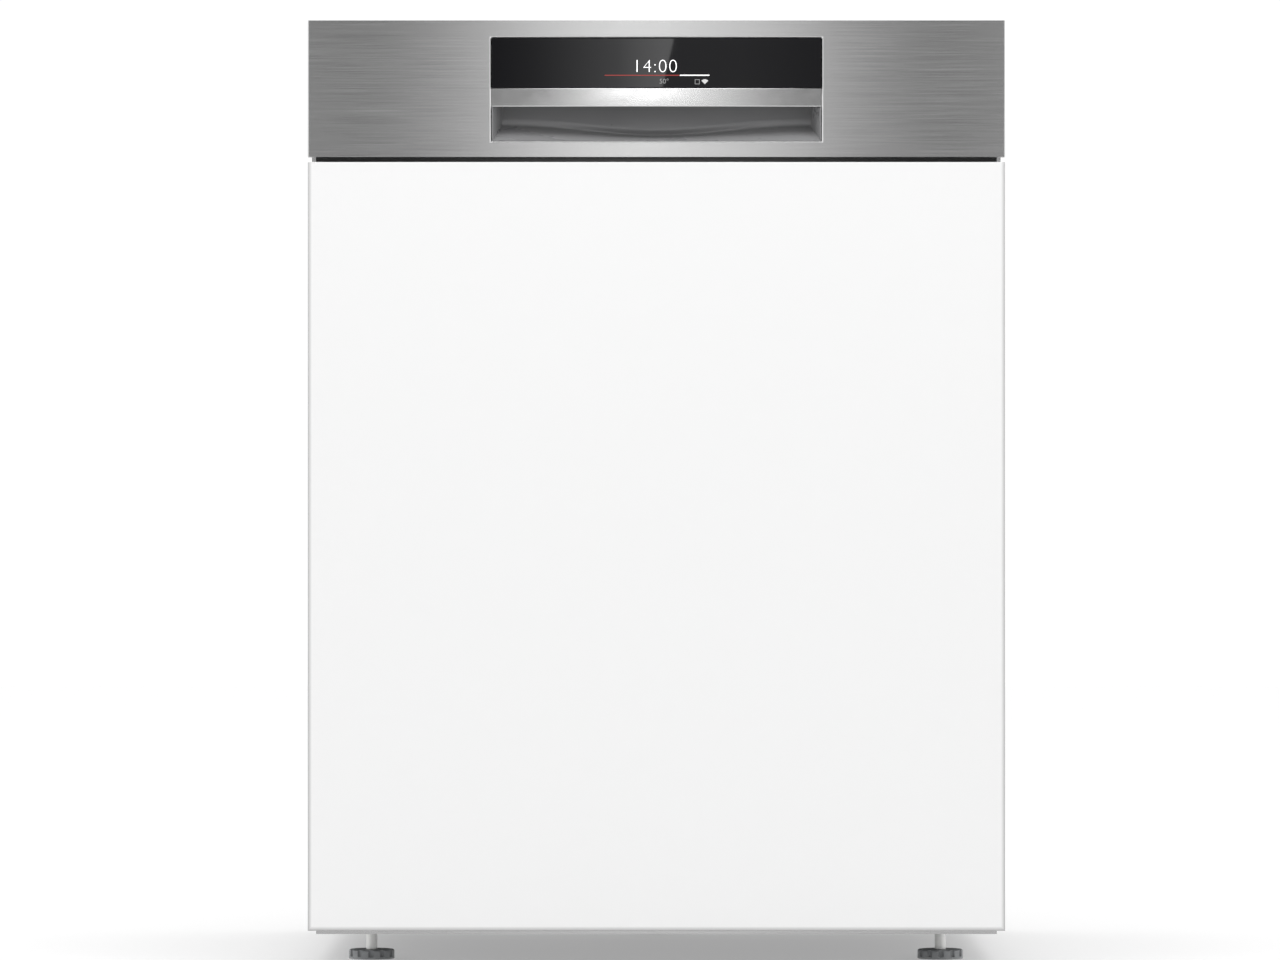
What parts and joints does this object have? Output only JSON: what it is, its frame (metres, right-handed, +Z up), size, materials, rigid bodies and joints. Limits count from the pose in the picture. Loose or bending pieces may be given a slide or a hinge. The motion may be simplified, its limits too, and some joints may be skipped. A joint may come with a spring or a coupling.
{
  "type": "built-in dishwasher",
  "caption": "Built-in dishwasher with a steel control fascia, a recessed finger grip, a white furniture front, pull-out racks and spray arms.",
  "frame": {"origin": "on the floor, at the centre of the overall width and depth", "axes": "+X to the right seen from the front, +Y to the back, +Z up"},
  "size_m": [0.598, 0.573, 0.815],
  "materials": {
    "brushed_steel": "horizontal fine brushing",
    "stainless": "satin stainless, tub and inner door",
    "galvanised": "galvanised sheet",
    "dark_steel": "zinc-plated and painted brackets",
    "spring_steel": "bright spring wire",
    "screw_steel": "zinc-plated",
    "black_glass": "dark touch glass, printed behind",
    "trim_metal": "fine brushed bar",
    "bowl_plastic": "smooth grey moulding",
    "panel_white": "smooth white laminate on chipboard",
    "grey_plastic": "fine-grained grey moulding",
    "dark_plastic": "fine-grained dark moulding",
    "white_plastic": "satin white moulding",
    "base_plastic": "coarse black moulding",
    "felt": "felt and bitumen mat",
    "rubber": "black gasket rubber",
    "grey_rubber": "grey hose rubber",
    "rack_nylon": "nylon-coated wire",
    "circuit": "circuit board in its carrier"
  },
  "bodies": {
    "chassis": {"base_tray": "base_plastic", "side_panel_left": "galvanised", "side_panel_right": "galvanised", "back_panel": "galvanised", "top_cover": "galvanised", "top_brackets": "galvanised", "kick_plate": "dark_steel", "tub_shell": "stainless", "tub_floor": "stainless", "tub_front_frame": "stainless", "tub_seal": "rubber", "tub_insulation": "felt", "sump": "grey_plastic", "fine_filter": "stainless", "softener_tank": "white_plastic", "circulation_pump": "white_plastic", "drain_pump": "grey_plastic", "base_hoses": "grey_rubber", "rear_connectors": "dark_plastic", "air_break_tank": "white_plastic", "riser_duct": "grey_plastic", "rack_rails": "stainless", "hinge_brackets": "galvanised", "door_springs": "spring_steel"},
    "door": {"fascia": "brushed_steel", "control_glass": "black_glass", "handle_trim": "trim_metal", "grip_bowl": "bowl_plastic", "control_board": "circuit", "lock_module": "dark_plastic", "furniture_panel": "panel_white", "door_fasteners": "screw_steel", "door_skin": "brushed_steel", "door_insulation": "felt", "door_liner": "stainless", "door_lip_seal": "rubber", "dispenser_body": "grey_plastic", "hinge_arms": "dark_steel"},
    "lock_pawl": {"lock_pawl": "dark_steel"},
    "dispenser_lid": {"dispenser_lid": "grey_plastic"},
    "rinse_cap": {"rinse_cap": "dark_plastic"},
    "lower_rack": {"lower_basket": "rack_nylon", "rack_plastics": "grey_plastic"},
    "fold_tines": {"lower_fold_tines": "rack_nylon"},
    "front_wheels": {"front_wheels": "grey_plastic"},
    "rear_wheels": {"rear_wheels": "grey_plastic"},
    "rail_mid": {"upper_rail_mid": "stainless"},
    "rail_inner": {"upper_rail_inner": "stainless"},
    "upper_rack": {"upper_basket": "rack_nylon", "upper_rack_plastics": "grey_plastic", "upper_feed_pipe": "grey_plastic"},
    "cup_shelf": {"cup_shelf": "rack_nylon"},
    "upper_arm": {"upper_spray_arm": "grey_plastic"},
    "cutlery_drawer": {"cutlery_drawer": "grey_plastic"},
    "lower_arm": {"lower_spray_arm": "grey_plastic"},
    "filter_cup": {"filter_cup": "grey_plastic"},
    "salt_cap": {"salt_cap": "grey_plastic"},
    "front_foot_left": {"front_foot_left": "dark_plastic"},
    "front_foot_right": {"front_foot_right": "dark_plastic"},
    "rear_foot": {"rear_foot": "dark_plastic"}
  },
  "joints": [
    {"name": "door_hinge", "type": "hinge", "parent": "chassis", "child": "door", "pos_m": [0, -0.2443, 0.112], "axis": [1, 0, 0], "range_deg": [0, 90], "stiffness_Nm_per_rad": 24, "springref_deg": -6.88, "deforming": ["door_springs"]},
    {"name": "cutlery_slide", "type": "slide", "parent": "chassis", "child": "cutlery_drawer", "axis": [0, -1, 0], "range_m": [0, 0.3]},
    {"name": "rail_mid_slide", "type": "slide", "parent": "chassis", "child": "rail_mid", "axis": [0, -1, 0], "range_m": [0, 0.21]},
    {"name": "rail_inner_slide", "type": "slide", "parent": "chassis", "child": "rail_inner", "axis": [0, -1, 0], "range_m": [0, 0.42]},
    {"name": "rack_lift", "type": "slide", "parent": "rail_inner", "child": "upper_rack", "axis": [0, 0, 1], "range_m": [-0.05, 0]},
    {"name": "upper_arm_spin", "type": "hinge", "parent": "upper_rack", "child": "upper_arm", "pos_m": [0, 0.0171, 0.43781], "axis": [0, 0, 1], "continuous": true},
    {"name": "cup_shelf_fold", "type": "hinge", "parent": "upper_rack", "child": "cup_shelf", "pos_m": [-0.2388, 0, 0.55962], "axis": [0, -1, 0], "range_deg": [0, 80]},
    {"name": "lower_rack_slide", "type": "slide", "parent": "chassis", "child": "lower_rack", "axis": [0, -1, 0], "range_m": [0, 0.5]},
    {"name": "tine_fold", "type": "hinge", "parent": "lower_rack", "child": "fold_tines", "pos_m": [-0.02933, 0, 0.174], "axis": [0, 1, 0], "range_deg": [0, 88]},
    {"name": "front_wheel_spin", "type": "hinge", "parent": "lower_rack", "child": "front_wheels", "pos_m": [0, -0.1668, 0.148], "axis": [1, 0, 0], "range_deg": [0, 2050]},
    {"name": "rear_wheel_spin", "type": "hinge", "parent": "lower_rack", "child": "rear_wheels", "pos_m": [0, 0.172, 0.148], "axis": [1, 0, 0], "range_deg": [0, 2050]},
    {"name": "lower_arm_spin", "type": "hinge", "parent": "chassis", "child": "lower_arm", "pos_m": [0, 0.0171, 0.145], "axis": [0, 0, 1], "continuous": true},
    {"name": "filter_turn", "type": "hinge", "parent": "chassis", "child": "filter_cup", "pos_m": [0.056, -0.0459, 0.128], "axis": [0, 0, 1], "range_deg": [0, 90]},
    {"name": "salt_cap_turn", "type": "hinge", "parent": "chassis", "child": "salt_cap", "pos_m": [-0.15, -0.0409, 0.128], "axis": [0, 0, 1], "range_deg": [0, 180]},
    {"name": "lid_slide", "type": "slide", "parent": "door", "child": "dispenser_lid", "axis": [-1, 0, 0], "range_m": [0, 0.058]},
    {"name": "rinse_cap_hinge", "type": "hinge", "parent": "door", "child": "rinse_cap", "pos_m": [0.052, -0.2317, 0.3655], "axis": [-1, 0, 0], "range_deg": [0, 75]},
    {"name": "pawl_swing", "type": "hinge", "parent": "door", "child": "lock_pawl", "pos_m": [0, -0.2525, 0.794], "axis": [1, 0, 0], "range_deg": [0, 50], "stiffness_Nm_per_rad": 0.02},
    {"name": "front_foot_left_screw", "type": "slide", "parent": "chassis", "child": "front_foot_left", "axis": [0, 0, -1], "range_m": [0, 0.06]},
    {"name": "front_foot_right_screw", "type": "slide", "parent": "chassis", "child": "front_foot_right", "axis": [0, 0, -1], "range_m": [0, 0.06]},
    {"name": "rear_foot_screw", "type": "slide", "parent": "chassis", "child": "rear_foot", "axis": [0, 0, -1], "range_m": [0, 0.06]}
  ],
  "couplings": [
    {"joint": "cutlery_slide", "follows": "door_hinge", "m_per_rad": 0.19},
    {"joint": "rail_mid_slide", "follows": "door_hinge", "m_per_rad": 0.1273},
    {"joint": "rail_inner_slide", "follows": "door_hinge", "m_per_rad": 0.2546},
    {"joint": "lower_rack_slide", "follows": "door_hinge", "m_per_rad": 0.0478},
    {"joint": "front_wheel_spin", "follows": "door_hinge", "ratio": 3.4143},
    {"joint": "rear_wheel_spin", "follows": "door_hinge", "ratio": 3.4143}
  ]
}
